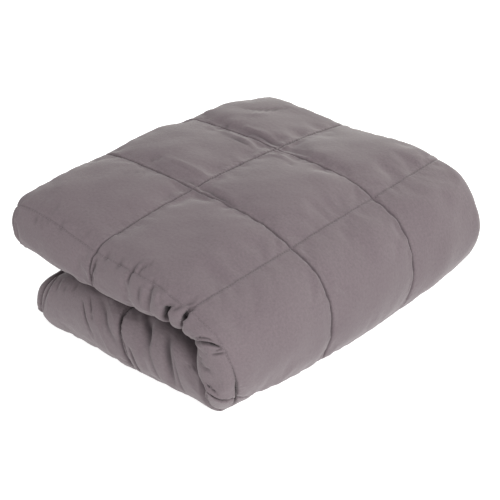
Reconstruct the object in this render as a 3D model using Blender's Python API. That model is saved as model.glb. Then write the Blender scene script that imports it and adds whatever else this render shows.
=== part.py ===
"""A quilted weighted blanket, folded for the shelf.

The blanket is one filled, quilted cloth of 5 by 7 squares.  It is folded in half along its
length, so its long edges meet at the back (+Y) and the fold makes a rounded "nose" along the
front (-Y).  The two-layer strip is then folded across, over a spine on the right (+X): a thin
upper plate lies over a plumper lower plate, with a narrow gap between them.

The solid is worked out in three steps.
  1. Two paths run along the strip in the XZ plane, one on the outside of the fold and one on
     the inside.  A point of the strip lies on the straight line between them.
  2. Across the strip the cloth runs like a hairpin: outer layer, nose, inner layer.
  3. Each square swells between its seams, and a few deep creases are pressed into the nose.
Lengths in the tables are in quilt squares; SQUARE turns them into metres.
"""
import math

import bpy
import numpy as np

# ---------------------------------------------------------------- driving dimensions
SQUARE = 0.150              # pitch of the quilting seams both ways, metres
SQUARES_LONG = 5            # squares along the strip: two on top, one at the spine, two below
SQUARES_WIDE = 7            # squares across: three outer, one round the nose, three inner
HEM = 0.085                 # turned edge outside the last seam, squares
LAYER_GAP = 0.022           # space between the two layers of a plate, squares
GAP_REACH = 0.45            # how far behind the third long seam the gap keeps its front shape
EDGE_ROUND = 0.11           # how far in from an edge seam the filling rounds off, squares
SEAM_PINCH = 0.34           # thickness at an edge seam, as a share of the full layer
HEM_PLUMP = 0.42            # thickness of the turned hem, as a share of the full layer
HEM_LIP = 0.12              # thickness at the very edge, as a share of the hem's own
HEM_CREST = 0.4             # where the turned hem is thickest, as a share of its width
NOSE_PINCH, NOSE_PLUMP = 0.70, 0.84     # pinch and plumpness where the nose holds an end open,
UPPER_PINCH, UPPER_PLUMP = 0.95, 0.93   # and at the upper end, which is the fuller one
HEM_DROP = 0.11             # how far the free hems hang down, squares
SWELL = 0.027               # how far a square stands above its seams, squares
SWELL_POWER = 0.42          # how a square rises from its seams: less is steeper and flatter
FLOOR = 0.0                 # the surface the blanket lies on
CENTRE_X, CENTRE_Y = 1.1792, 1.4285       # middle of the folded blanket, squares

CLOTH_COLOUR = (0.262, 0.219, 0.229, 1.0)
CLOTH_ROUGHNESS = 0.85

# Outside of the fold, at the front, in the middle and at the back of the strip's width.
OUTER_PATH = (
    # place              along   front: x, z     middle: x, z    back: x, z
    ("upper hem",         -0.09,  0.035, 0.987, -0.150, 0.952, -0.010, 0.862),
    ("first seam",              0.00,  0.095, 1.012, -0.090, 0.972,  0.050, 0.884),
    ("second seam",        1.00,  0.985, 0.980,  0.990, 1.060,  0.995, 0.906),
    ("third seam",         2.00,  1.975, 0.930,  2.000, 0.955,  1.990, 0.940),
    ("shoulder",           2.25,  2.190, 0.845,  2.240, 0.840,  2.225, 0.862),
    ("spine",                2.50,  2.310, 0.700,  2.380, 0.615,  2.385, 0.665),
    ("spine foot",            2.80,  2.350, 0.455,  2.392, 0.270,  2.450, 0.350),
    ("fourth seam",           3.00,  2.300, 0.280,  2.285, 0.034,  2.300, 0.078),
    ("floor turn",          3.20,  2.190, 0.130,  2.110, 0.018,  2.142, 0.024),
    ("mitre",              3.36,  2.100, 0.020,  2.010, 0.016,  2.030, 0.018),
    ("under",             3.60,  1.830, 0.016,  1.820, 0.016,  1.820, 0.018),
    ("fifth seam",        4.00,  1.390, 0.018,  1.380, 0.018,  1.380, 0.020),
    ("last seam",           5.00,  0.312, 0.022,  0.420, 0.040,  0.430, 0.050),
    ("lower hem",           5.09,  0.218, 0.044,  0.335, 0.070,  0.345, 0.080),
)

# Inside of the fold: under the upper plate, round the end of the gap, over the lower plate;
# at the front, where the gap shows, and at the back, where the plates lie close.
INNER_PATH = (
    # place              along   front: x, z     back: x, z
    ("upper hem",        -0.09,  0.150, 0.650,  -0.010, 0.657),
    ("first seam",          0.00,  0.200, 0.652,   0.070, 0.656),
    ("second seam",         1.00,  1.080, 0.660,   0.970, 0.652),
    ("third seam",         2.00,  1.940, 0.755,   1.870, 0.683),
    ("gap end above",        2.35,  2.010, 0.728,  1.980, 0.677),
    ("gap end",               2.80,  2.070, 0.480,  2.040, 0.650),
    ("gap end below",        3.00,  2.175, 0.440,   2.055, 0.640),
    ("below the spine",      3.20,  2.165, 0.410,   2.020, 0.632),
    ("mitre",               3.36,  2.100, 0.480,   1.960, 0.629),
    ("lower plate",         3.60,  1.880, 0.620,   1.740, 0.627),
    ("fifth seam",          4.00,  1.320, 0.640,   1.350, 0.626),
    ("last seam",           5.00,  0.480, 0.555,  0.410, 0.600),
    ("lower hem",           5.09,  0.385, 0.522,  0.320, 0.589),
)

# How the nose stands along the strip.  reach = how far it stands out in front of the third
# long seam; lean = how much further back its outer side is than its inner side.
NOSE_PATH = (
    # place              along   reach   lean
    ("upper end",        -0.09,  0.070,  0.03),
    ("second seam",       1.00,  0.100,  0.04),
    ("third seam",        2.00,  0.085, -0.02),
    ("spine",             2.50,  0.060,  0.00),
    ("spine foot",          3.00,  0.090,  0.16),
    ("mitre",              3.36,  0.040,  0.18),
    ("fifth seam",        4.00,  0.115,  0.14),
    ("lower square",      4.60,  0.105,  0.10),
    ("last seam",         5.00,  0.110,  0.04),
    ("lower end",         5.09,  0.110,  0.04),
)

# Seams that hold the filling down less than the others, where the cloth is stretched.
SEAM_DEPTH_LONG = {0: 1.0, 1: 1.0, 2: 0.9, 3: 0.15, 4: 0.8, 5: 1.0, 6: 1.0, 7: 1.0}
SEAM_DEPTH_CROSS = {0: 0.4, 1: 1.0, 2: 0.7, 3: 0.4, 4: 0.5, 5: 1.0}

# Deep creases pressed into the nose.  low and high are where each starts and ends through
# the strip's thickness: 0 on the inner side, 1 on the outer side.
NOSE_CREASES = (
    # name               along   width   depth  low    high
    ("soft pucker",        1.40,  0.050,  0.014, 0.00,  0.90),
    ("front crease",       1.62,  0.040,  0.010, 0.00,  0.80),
    ("notch",                1.81,  0.036,  0.130, -0.20,  0.66),
    ("third seam tuck",     2.00,  0.030,  0.016, -0.20,  0.95),
    ("corner pinch",        2.30,  0.038,  0.070, -0.20, 0.60),
    ("mitre crease",       3.30,  0.032,  0.110, -0.20, 1.05),
    ("second streak",       3.65,  0.030,  0.010, -0.20,  0.75),
    ("first streak",        3.82,  0.030,  0.014, -0.20,  0.70),
    ("fifth seam tuck",     3.99,  0.026,  0.008, -0.20,  0.85),
    ("lower fold",         4.18,  0.050,  0.008, -0.20,  0.75),
)

# ---------------------------------------------------------------- nose and layer shape
NOSE_CENTRE = 0.12          # where the nose starts to turn, squares behind the third seam
NOSE_BOXINESS = 2.5         # 2 is a round nose, more is squarer
SEAM_ANGLE = math.radians(56)           # where round the nose the third long seam sits
NOSE_START, NOSE_END = 2.88, 3.75       # across values where the nose starts and ends
INNER_SEAM_Y = 0.45                     # the fourth long seam, hidden on the inner layer
INNER_EDGE_Y = 2.88                     # the inner layer's edge seam
OUTER_EDGE_Y = 2.93                     # the outer layer's edge seam
OUTER_SEAMS_Y = ((-1.0, OUTER_EDGE_Y + 0.70), (0.0, OUTER_EDGE_Y), (1.0, 1.990), (2.0, 1.012),
                 (NOSE_START, NOSE_CENTRE))     # y of the outer layer's long seams
SLIT_TIP_Y = 0.10                       # where the slit between the layers ends, behind the nose
SLIT_DEPTH = 0.16                       # length over which the slit's end rounds

# ---------------------------------------------------------------- mesh stations
IN_SQUARE = (0.0, 0.07, 0.24, 0.5, 0.76, 0.93)      # stations inside each square
ROUND_NOSE = (2.93, 3.00, 3.08, 3.17, 3.26, 3.35, 3.44, 3.53, 3.62, 3.75)
INNER_LAYER = (3.93, 4.00, 4.30, 4.70, 5.00, 5.30, 5.70, 6.00, 6.30, 6.70)
ROUND_SPINE = (2.00, 2.07, 2.16, 2.26, 2.36, 2.48, 2.60, 2.72, 2.84, 2.93, 3.00, 3.08, 3.16)
HEM_STEPS = (1.0, 0.72, 0.30)                       # stations in the hem, outermost first
CREASE_STEPS = (-1.7, -0.9, 0.0, 0.9, 1.7)          # extra stations at a deep crease, widths
DEEP_CREASE = 0.07                                  # creases at least this deep get them
MIN_STEP = 0.022                                    # stations closer than this are merged


def columns(table):
    """The numeric columns of a table, without the name in front."""
    return [np.array(column, float) for column in zip(*(row[1:] for row in table))]


def smooth(knots, values, at):
    """A smooth curve through a table's values (cubic, with slopes from the neighbours)."""
    slopes = np.gradient(values, knots)
    i = np.clip(np.searchsorted(knots, at) - 1, 0, len(knots) - 2)
    width = knots[i + 1] - knots[i]
    t = np.clip((at - knots[i]) / width, 0.0, 1.0)
    rise, level = t * t * (3 - 2 * t), t * (1 - t)
    return (values[i] * (1 - rise) + values[i + 1] * rise
            + level * ((1 - t) * slopes[i] - t * slopes[i + 1]) * width)


def ramp(low, high, value):
    """0 below low, 1 above high, and a smooth rise between."""
    t = np.clip((value - low) / (high - low), 0.0, 1.0)
    return t * t * (3 - 2 * t)


def hump(y):
    """1 in the middle of the width and 0 at the nose and at the back edge."""
    return np.sin(math.pi * np.clip(y / OUTER_EDGE_Y, 0.0, 1.0)) ** 0.7


def signed_power(value, power):
    return np.sign(value) * np.abs(value) ** power


def stations(count, closer=()):
    """Stations from hem to hem.  Each run in closer takes the place of the plain ones."""
    found = [-HEM * step for step in HEM_STEPS]
    found += [square + part for square in range(count) for part in IN_SQUARE]
    found += [count + HEM * step for step in (0.0,) + HEM_STEPS[::-1]]
    for run in closer:
        found = [f for f in found if not run[0] - MIN_STEP < f < run[-1] + MIN_STEP]
        found += run
    return np.array(sorted(found))


def along_stations():
    """Stations along the strip, closer together round the spine and at each deep crease."""
    runs = [list(ROUND_SPINE)]
    for name, along, width, depth, low, high in NOSE_CREASES:
        if depth >= DEEP_CREASE:
            runs.append([along + step * width for step in CREASE_STEPS])
    return stations(SQUARES_LONG, runs)


def across_stations():
    """Stations across the cloth, close together round the nose, wider on the inner layer."""
    return stations(SQUARES_WIDE, [list(ROUND_NOSE), list(INNER_LAYER)])


def round_corners(along, across):
    """Turn the square corners of the hem into quarter circles."""
    out_along = np.clip(np.maximum(-along, along - SQUARES_LONG), 0, None)
    out_across = np.clip(np.maximum(-across, across - SQUARES_WIDE), 0, None)
    reach = np.hypot(out_along, out_across)
    share = np.where(reach > 0, np.maximum(out_along, out_across) / np.maximum(reach, 1e-9), 1.0)
    return (np.clip(along, 0, SQUARES_LONG) + (along - np.clip(along, 0, SQUARES_LONG)) * share,
            np.clip(across, 0, SQUARES_WIDE) + (across - np.clip(across, 0, SQUARES_WIDE)) * share)


def seam_lines(position, depths):
    """0 on a full-depth seam and 1 in the middle of a square."""
    nearest = np.clip(np.round(position), 0, len(depths) - 1).astype(int)
    held = np.array([depths[k] for k in range(len(depths))])[nearest]
    return 1 - held * (1 - np.abs(np.sin(math.pi * position)) ** SWELL_POWER)


def filling(position, count, open_end=0.0):
    """Share of the full thickness: 1 inside, rounding to the pinched edge seam, plump hem.
    open_end is 1 where the nose holds the end open, so that it is pinched less."""
    upper = position < 0.5 * count
    pinch = SEAM_PINCH + (np.where(upper, UPPER_PINCH, NOSE_PINCH) - SEAM_PINCH) * open_end
    plump = HEM_PLUMP + (np.where(upper, UPPER_PLUMP, NOSE_PLUMP) - HEM_PLUMP) * open_end
    inside = np.minimum(position, count - position)
    rounding = np.sqrt(1 - (1 - np.clip(inside / EDGE_ROUND, 0, 1)) ** 2)
    outside = overhang(position, count)
    rising = np.sin(0.5 * math.pi * np.clip(outside / HEM_CREST, 0, 1))
    closing = np.clip((outside - HEM_CREST) / (1 - HEM_CREST), 0, 1)
    hem = (pinch + (plump - pinch) * rising) * np.sqrt(1 - (1 - HEM_LIP ** 2) * closing ** 2)
    return np.where(inside >= 0, pinch + (1 - pinch) * rounding, hem)


def overhang(position, count):
    """How far out a place of the hem is: 0 on the edge seam and 1 on the very edge."""
    return np.clip(-np.minimum(position, count - position) / HEM, 0, 1)


def across_strip(across, reach):
    """Where a point of the cloth's outward and slit faces lies: y, and depth 0 to 1."""
    nose = np.interp(across, (NOSE_START, 3.0, NOSE_END),
                     (math.pi / 2, SEAM_ANGLE, -math.pi / 2))
    turn_y = np.abs(np.cos(nose)) ** (2 / NOSE_BOXINESS)
    depth = 0.5 + 0.5 * signed_power(np.sin(nose), 2 / NOSE_BOXINESS)
    outer_y = np.interp(across, *zip(*OUTER_SEAMS_Y))
    inner_y = np.interp(across, (NOSE_END, 4.0, SQUARES_WIDE, SQUARES_WIDE + 1.0),
                        (NOSE_CENTRE, INNER_SEAM_Y, INNER_EDGE_Y, INNER_EDGE_Y + 0.7))
    straight_y = np.where(across < NOSE_START, outer_y, inner_y)
    on_nose = (across > NOSE_START) & (across < NOSE_END)
    face_y = np.where(on_nose, NOSE_CENTRE - (NOSE_CENTRE + reach) * turn_y, straight_y)
    slit_end = SLIT_TIP_Y + SLIT_DEPTH
    slit_y = np.maximum(slit_end - SLIT_DEPTH * np.cos(nose), SLIT_TIP_Y)
    slit_y = np.where(on_nose, slit_y, np.maximum(straight_y, slit_end))
    return face_y, depth, slit_y, np.sin(nose)


def place(along, y, depth, lean):
    """A point of the strip, from how far along it is, its y and its depth through the strip."""
    knots, front_x, front_z, middle_x, middle_z, back_x, back_z = columns(OUTER_PATH)
    back, swell = np.clip(y / OUTER_EDGE_Y, 0, 1), hump(y)

    def across_width(front, middle, rear):
        ends = smooth(knots, front, along) * (1 - back) + smooth(knots, rear, along) * back
        return ends + smooth(knots, middle - (front + rear) / 2, along) * swell

    outer_x = across_width(front_x, middle_x, back_x)
    outer_z = across_width(front_z, middle_z, back_z)
    knots, front_x, front_z, back_x, back_z = columns(INNER_PATH)
    near = np.exp(-(np.maximum(y, 0.0) / GAP_REACH) ** 2)
    inner_x = smooth(knots, front_x, along) * near + smooth(knots, back_x, along) * (1 - near)
    inner_z = smooth(knots, front_z, along) * near + smooth(knots, back_z, along) * (1 - near)
    near_nose = 1 - ramp(0.2, 0.6, y)
    return np.stack((inner_x + (outer_x - inner_x) * depth,
                     y + lean * (depth - 0.35) * near_nose,
                     inner_z + (outer_z - inner_z) * depth), axis=-1)


def normals(points):
    """Unit vectors square to a grid of points, pointing out of the cloth."""
    along = np.gradient(points, axis=0)
    across = np.gradient(points, axis=1)
    out = np.cross(across, along)
    return out / np.maximum(np.linalg.norm(out, axis=-1, keepdims=True), 1e-9)


def blanket_faces(along_at, across_at):
    """The two faces of the quilted cloth, as grids of points in squares."""
    along, across = round_corners(*np.meshgrid(along_at, across_at, indexing="ij"))
    knots, reach, lean = columns(NOSE_PATH)
    reach, lean = smooth(knots, reach, along), smooth(knots, lean, along)
    face_y, face_depth, slit_y, slit_side = across_strip(across, reach)

    outward = place(along, face_y, face_depth, lean)
    thickness = np.linalg.norm(place(along, face_y, 1.0, lean)
                               - place(along, face_y, 0.0, lean), axis=-1)
    slit_depth = 0.5 + 0.5 * LAYER_GAP / thickness * slit_side
    inward = place(along, slit_y, slit_depth, lean)

    open_end = 1 - ramp(0.1, 0.8, face_y)
    fill = np.minimum(filling(along, SQUARES_LONG, open_end), filling(across, SQUARES_WIDE))
    middle = 0.5 * (outward + inward)
    hanging = (1 - open_end) * ramp(0.3, 0.7, middle[..., 2]) * HEM_DROP
    middle[..., 2] -= hanging * np.maximum(overhang(along, SQUARES_LONG),
                                           overhang(across, SQUARES_WIDE))
    half_layer = 0.5 * (outward - inward) * fill[..., None]
    outward, inward = middle + half_layer, middle - half_layer

    swell = seam_lines(along, SEAM_DEPTH_CROSS) * seam_lines(across, SEAM_DEPTH_LONG)
    hidden = ramp(3.4, 3.75, across)
    rise = SWELL * (swell - hidden) * np.minimum(fill, 1.0)
    on_nose = ramp(2.86, 3.05, across) * (1 - ramp(3.75, 4.1, across))
    for name, at, width, depth, low, high in NOSE_CREASES:
        through = ramp(low - 0.15, low + 0.15, face_depth)
        through = through * (1 - ramp(high - 0.2, high + 0.1, face_depth))
        rise = rise - depth * np.exp(-((along - at) / width) ** 2) * through * on_nose
    outward = outward + normals(outward) * rise[..., None]
    outward[..., 2] = np.maximum(outward[..., 2], FLOOR)
    return outward, inward


def closed_cloth(outward, inward):
    """Vertices and quads of the closed solid between the two faces."""
    rows, cols = outward.shape[:2]
    half = rows * cols
    vertices = np.concatenate((outward.reshape(-1, 3), inward.reshape(-1, 3)))
    grid = np.arange(half).reshape(rows, cols)
    a, b = grid[:-1, :-1].ravel(), grid[1:, :-1].ravel()
    c, d = grid[1:, 1:].ravel(), grid[:-1, 1:].ravel()
    quads = [np.stack((a, d, c, b), axis=1), np.stack((a, b, c, d), axis=1) + half]
    rim = np.concatenate((grid[:-1, 0], grid[-1, :-1], grid[:0:-1, -1], grid[0, :0:-1]))
    following = np.roll(rim, -1)
    quads.append(np.stack((rim, following, following + half, rim + half), axis=1))
    return vertices, np.concatenate(quads)


def cloth_material():
    material = bpy.data.materials.new("quilted_cloth")
    material.use_nodes = True
    surface = material.node_tree.nodes["Principled BSDF"]
    surface.inputs["Base Color"].default_value = CLOTH_COLOUR
    surface.inputs["Roughness"].default_value = CLOTH_ROUGHNESS
    surface.inputs["Metallic"].default_value = 0.0
    return material


def build_blanket():
    outward, inward = blanket_faces(along_stations(), across_stations())
    vertices, quads = closed_cloth(outward, inward)
    vertices = (vertices - (CENTRE_X, CENTRE_Y, 0.0)) * SQUARE
    mesh = bpy.data.meshes.new("blanket")
    mesh.from_pydata(vertices.tolist(), [], quads.tolist())
    mesh.materials.append(cloth_material())
    mesh.shade_smooth()
    blanket = bpy.data.objects.new("blanket", mesh)
    bpy.context.collection.objects.link(blanket)
    return blanket


def main():
    for old in list(bpy.data.objects):
        bpy.data.objects.remove(old, do_unlink=True)
    blanket = build_blanket()
    corners = np.array([v.co for v in blanket.data.vertices])
    print("blanket", len(blanket.data.polygons), "faces, low", corners.min(0).round(4),
          "high", corners.max(0).round(4))


main()
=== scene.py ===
# %% [markdown]
# # A folded weighted blanket
#
# The real thing is one quilted cloth: two faces of brushed cotton with a filling of tiny beads
# and wadding between them, sewn through in squares so that the weight cannot wander.  Here it
# is folded twice, once along its length and once across, the way it comes off a shelf.
#
# This lesson dresses the plain solid of the blanket.  The order is: open the frame, set the
# camera, lay the cloth out along its two folds, let a cloth simulation swell the squares, press
# in the seams and creases, sew the stitches with Geometry Nodes, and light it.

# %% Open the frame
import math

import bpy
import numpy as np
from mathutils import Matrix, Vector


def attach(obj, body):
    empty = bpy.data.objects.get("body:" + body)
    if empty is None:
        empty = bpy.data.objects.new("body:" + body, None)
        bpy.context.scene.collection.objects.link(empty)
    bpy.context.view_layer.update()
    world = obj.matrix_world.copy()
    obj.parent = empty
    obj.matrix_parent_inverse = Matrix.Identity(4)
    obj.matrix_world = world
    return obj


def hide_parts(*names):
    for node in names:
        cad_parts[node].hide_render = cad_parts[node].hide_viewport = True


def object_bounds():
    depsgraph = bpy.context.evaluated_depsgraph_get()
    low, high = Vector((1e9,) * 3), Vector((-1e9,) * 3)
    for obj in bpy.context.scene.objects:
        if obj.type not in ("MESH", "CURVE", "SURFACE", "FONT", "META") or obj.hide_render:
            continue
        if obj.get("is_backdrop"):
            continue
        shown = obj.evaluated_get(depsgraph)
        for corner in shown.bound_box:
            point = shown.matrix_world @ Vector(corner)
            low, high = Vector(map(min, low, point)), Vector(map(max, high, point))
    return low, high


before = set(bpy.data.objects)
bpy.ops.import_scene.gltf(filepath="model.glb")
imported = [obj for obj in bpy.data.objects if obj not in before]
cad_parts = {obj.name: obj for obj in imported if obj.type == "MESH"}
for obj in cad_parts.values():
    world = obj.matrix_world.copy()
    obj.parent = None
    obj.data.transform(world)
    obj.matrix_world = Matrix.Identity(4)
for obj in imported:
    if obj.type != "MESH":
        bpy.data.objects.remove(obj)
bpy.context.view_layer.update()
scene = bpy.context.scene

# %% [markdown]
# ## The camera
#
# The camera looks down on the front right corner, so both folds show: the long rounded fold
# along the front and the tall spine on the right.  It is a long lens from about 1.5 m away,
# which keeps the far edges nearly parallel.  The camera is built from its azimuth and
# elevation, so that its roll is exactly zero.

# %% Camera
CAMERA_PLACE = (0.8176, -0.8938, 0.8355)    # metres
CAMERA_AZIMUTH = 42.3                       # degrees from the front towards the right
CAMERA_ELEVATION = 32.7
LENS, SENSOR_WIDTH = 84.4, 36.0             # millimetres


def aim(azimuth, elevation):
    """The rotation of a camera that looks at the middle from this side."""
    turn, rise = math.radians(azimuth), math.radians(elevation)
    backward = Vector((math.sin(turn) * math.cos(rise), -math.cos(turn) * math.cos(rise),
                       math.sin(rise)))
    right = (-backward).cross(Vector((0, 0, 1))).normalized()
    return Matrix((right, right.cross(-backward), backward)).transposed().to_4x4()


def add_object(name, data):
    """A new object in the scene."""
    added = bpy.data.objects.new(name, data)
    scene.collection.objects.link(added)
    return added


camera_data = bpy.data.cameras.new("camera")
camera_data.sensor_width, camera_data.lens = SENSOR_WIDTH, LENS
camera = add_object("camera", camera_data)
camera.matrix_world = Matrix.Translation(CAMERA_PLACE) @ aim(CAMERA_AZIMUTH, CAMERA_ELEVATION)
scene.camera = camera
print("camera is", round(Vector(CAMERA_PLACE).length, 3), "m from the middle of the base")

# %% [markdown]
# ## The two folds, as short tables
#
# A maker thinks of this blanket in squares: 5 along the folded strip and 7 across the whole
# cloth.  So every place on it is named by two numbers, along and across, and every size in the
# tables is in squares too.  The tables give the outside and the inside of the fold; a point of
# the strip lies on the straight line between them.  This is easier to correct than hundreds of
# vertices, and a seam is simply a whole number.

# %% Sizes and fold tables
SQUARE = 0.150                  # pitch of the quilting both ways, metres
SQUARES_LONG, SQUARES_WIDE = 5, 7
HEM = 0.085                     # turned edge outside the last seam
LAYER_GAP = 0.022               # between the two layers of a plate
GAP_REACH = 0.45                # how far behind the front fold the gap keeps its front shape
HUMP_POWER = 0.7                # how evenly the middle of the width stands above its ends
EDGE_ROUND = 0.11               # how far in from an edge seam the filling rounds off
SEAM_PINCH, HEM_PLUMP, HEM_LIP = 0.34, 0.42, 0.12       # shares of the full thickness
NOSE_PINCH, NOSE_PLUMP = 0.70, 0.84     # the same where the front fold holds the end open,
UPPER_PINCH, UPPER_PLUMP = 0.95, 0.93   # and at the upper end, which is the fuller one
HEM_CREST = 0.4                 # where the turned hem is thickest, as a share of its width
HEM_DROP = 0.11                 # how far the free hems hang down
HANG_Z = (0.3, 0.7)             # heights between which a hem starts to hang
SWELL, SWELL_POWER = 0.027, 0.42        # how far a square stands above its seams, and how
                                # flat it is between them: less is flatter
SWELL_ENDS = (3.40, 3.75)       # across values where the swelling fades out
NOSE_OPENS, NOSE_CLOSES = (2.86, 3.05), (3.75, 4.10)    # and where deep creases come and go
CENTRE_X, CENTRE_Y = 1.1792, 1.4285     # the frame's origin in the tables
TINY = 1e-9                     # keeps a division by a length clear of nought

OUTER_PATH = (
    # place        along  front: x, z    middle: x, z    back: x, z
    ("upper hem",    -0.09,  0.035, 0.987,  -0.150, 0.952,  -0.010, 0.862),
    ("first seam",    0.00,  0.095, 1.012,  -0.090, 0.972,   0.050, 0.884),
    ("second seam",   1.00,  0.985, 0.980,   0.990, 1.060,   0.995, 0.906),
    ("third seam",    2.00,  1.975, 0.930,   2.000, 0.955,   1.990, 0.940),
    ("shoulder",      2.25,  2.190, 0.845,   2.240, 0.840,   2.225, 0.862),
    ("spine",         2.50,  2.310, 0.700,   2.380, 0.615,   2.385, 0.665),
    ("spine foot",    2.80,  2.350, 0.455,   2.392, 0.270,   2.450, 0.350),
    ("fourth seam",   3.00,  2.300, 0.280,   2.285, 0.034,   2.300, 0.078),
    ("floor turn",    3.20,  2.190, 0.130,   2.110, 0.018,   2.142, 0.024),
    ("mitre",         3.36,  2.100, 0.020,   2.010, 0.016,   2.030, 0.018),
    ("under",         3.60,  1.830, 0.016,   1.820, 0.016,   1.820, 0.018),
    ("fifth seam",    4.00,  1.390, 0.018,   1.380, 0.018,   1.380, 0.020),
    ("last seam",     5.00,  0.312, 0.022,   0.420, 0.040,   0.430, 0.050),
    ("lower hem",     5.09,  0.218, 0.044,   0.335, 0.070,   0.345, 0.080),
)
INNER_PATH = (
    # place           along  front: x, z    back: x, z
    ("upper hem",       -0.09,  0.150, 0.650, -0.010, 0.657),
    ("first seam",       0.00,  0.200, 0.652,  0.070, 0.656),
    ("second seam",      1.00,  1.080, 0.660,  0.970, 0.652),
    ("third seam",       2.00,  1.940, 0.755,  1.870, 0.683),
    ("gap end above",    2.35,  2.010, 0.728,  1.980, 0.677),
    ("gap end",          2.80,  2.070, 0.480,  2.040, 0.650),
    ("gap end below",    3.00,  2.175, 0.440,  2.055, 0.640),
    ("below the spine",  3.20,  2.165, 0.410,  2.020, 0.632),
    ("mitre",            3.36,  2.100, 0.480,  1.960, 0.629),
    ("lower plate",      3.60,  1.880, 0.620,  1.740, 0.627),
    ("fifth seam",       4.00,  1.320, 0.640,  1.350, 0.626),
    ("last seam",        5.00,  0.480, 0.555,  0.410, 0.600),
    ("lower hem",        5.09,  0.385, 0.522,  0.320, 0.589),
)
NOSE_PATH = (
    # place        along  reach   lean
    ("upper end",    -0.09,  0.070,   0.03),
    ("second seam",   1.00,  0.100,   0.04),
    ("third seam",    2.00,  0.085,  -0.02),
    ("spine",         2.50,  0.060,   0.00),
    ("spine foot",    3.00,  0.090,   0.16),
    ("mitre",         3.36,  0.040,   0.18),
    ("fifth seam",    4.00,  0.115,   0.14),
    ("lower square",  4.60,  0.105,   0.10),
    ("last seam",     5.00,  0.110,   0.04),
    ("lower end",     5.09,  0.110,   0.04),
)
SEAM_DEPTH_LONG = {0: 1.0, 1: 1.0, 2: 0.9, 3: 0.15, 4: 0.8, 5: 1.0, 6: 1.0, 7: 1.0}
SEAM_DEPTH_CROSS = {0: 0.4, 1: 1.0, 2: 0.7, 3: 0.4, 4: 0.5, 5: 1.0}
NOSE_CREASES = (
    # name            along  width  depth    low  high
    ("soft pucker",     1.40,  0.050,  0.014,   0.00,  0.90),
    ("front crease",    1.62,  0.040,  0.010,   0.00,  0.80),
    ("notch",           1.81,  0.036,  0.130,  -0.20,  0.66),
    ("third seam tuck", 2.00,  0.030,  0.016,  -0.20,  0.95),
    ("corner pinch",    2.30,  0.038,  0.070,  -0.20,  0.60),
    ("mitre crease",    3.30,  0.032,  0.110,  -0.20,  1.05),
    ("second streak",   3.65,  0.030,  0.010,  -0.20,  0.75),
    ("first streak",    3.82,  0.030,  0.014,  -0.20,  0.70),
    ("fifth seam tuck", 3.99,  0.026,  0.008,  -0.20,  0.85),
    ("lower fold",      4.18,  0.050,  0.008,  -0.20,  0.75),
)
LOW_FADE, HIGH_FADE = 0.15, 0.20        # depths over which such a crease fades at its ends
NOSE_CENTRE, NOSE_BOXINESS, SEAM_ANGLE = 0.12, 2.5, math.radians(56)
NOSE_START, FRONT_SEAM, NOSE_END = 2.88, 3.0, 3.75      # across values round the front fold
OPEN_END_Y, LEAN_Y = (0.1, 0.8), (0.2, 0.6)     # y ranges where the fold's hold and lean fade
LEAN_DEPTH = 0.35               # the depth about which the front fold leans
OUTER_EDGE_Y, INNER_EDGE_Y, PAST_EDGE = 2.93, 2.88, 0.70
OUTER_SEAMS_Y = ((-1.0, OUTER_EDGE_Y + PAST_EDGE), (0.0, OUTER_EDGE_Y), (1.0, 1.990),
                 (2.0, 1.012), (NOSE_START, NOSE_CENTRE))       # across, y
INNER_SEAMS_Y = ((NOSE_END, NOSE_CENTRE), (4.0, 0.45), (7.0, INNER_EDGE_Y),
                 (8.0, INNER_EDGE_Y + PAST_EDGE))
SLIT_TIP_Y, SLIT_DEPTH = 0.10, 0.16
print("flat cloth", round(SQUARE * (SQUARES_LONG + 2 * HEM), 3), "by",
      round(SQUARE * (SQUARES_WIDE + 2 * HEM), 3), "m")

# %% [markdown]
# ## Smooth curves through a table
#
# A few small helpers do all of the drawing: a smooth curve through a table's values, a soft
# step from 0 to 1, a window of two such steps, a bell, and a signed power that makes a round
# section a little boxier.

# %% Curve helpers


def columns(table):
    """The numeric columns of a table, without the name in front."""
    return [np.array(column, float) for column in zip(*(row[1:] for row in table))]


def smooth(knots, values, at):
    """A smooth curve through a table's values (cubic, with slopes from the neighbours)."""
    slopes = np.gradient(values, knots)
    i = np.clip(np.searchsorted(knots, at) - 1, 0, len(knots) - 2)
    width = knots[i + 1] - knots[i]
    t = np.clip((at - knots[i]) / width, 0.0, 1.0)
    rise, level = t * t * (3 - 2 * t), t * (1 - t)
    return (values[i] * (1 - rise) + values[i + 1] * rise
            + level * ((1 - t) * slopes[i] - t * slopes[i + 1]) * width)


def ramp(low, high, value):
    """0 below low, 1 above high, and a smooth rise between."""
    t = np.clip((value - low) / (high - low), 0.0, 1.0)
    return t * t * (3 - 2 * t)


def window(value, opens, closes):
    """1 between two ranges, with a smooth rise over the first and a fall over the second."""
    return ramp(*opens, value) * (1 - ramp(*closes, value))


def bell(away):
    """1 at nought, fading like a bell curve."""
    return np.exp(-away ** 2)


def signed_power(value, power):
    """A power that keeps the sign."""
    return np.sign(value) * np.abs(value) ** power


print("half way up a ramp:", ramp(0, 1, 0.5))

# %% [markdown]
# ## From a place on the cloth to a place in space
#
# Across the strip the cloth runs like a hairpin: the outer layer comes forward from the back
# edge, turns round the long front fold, and goes back inside.  Along the strip it follows the
# fold tables.  The filling is full inside a square, pinched flat where an edge seam holds it,
# and a little plump again in the turned hem.

# %% The folded cloth


def hump(y):
    """1 in the middle of the width and 0 at the front fold and at the back edge."""
    return np.sin(math.pi * np.clip(y / OUTER_EDGE_Y, 0.0, 1.0)) ** HUMP_POWER


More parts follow.
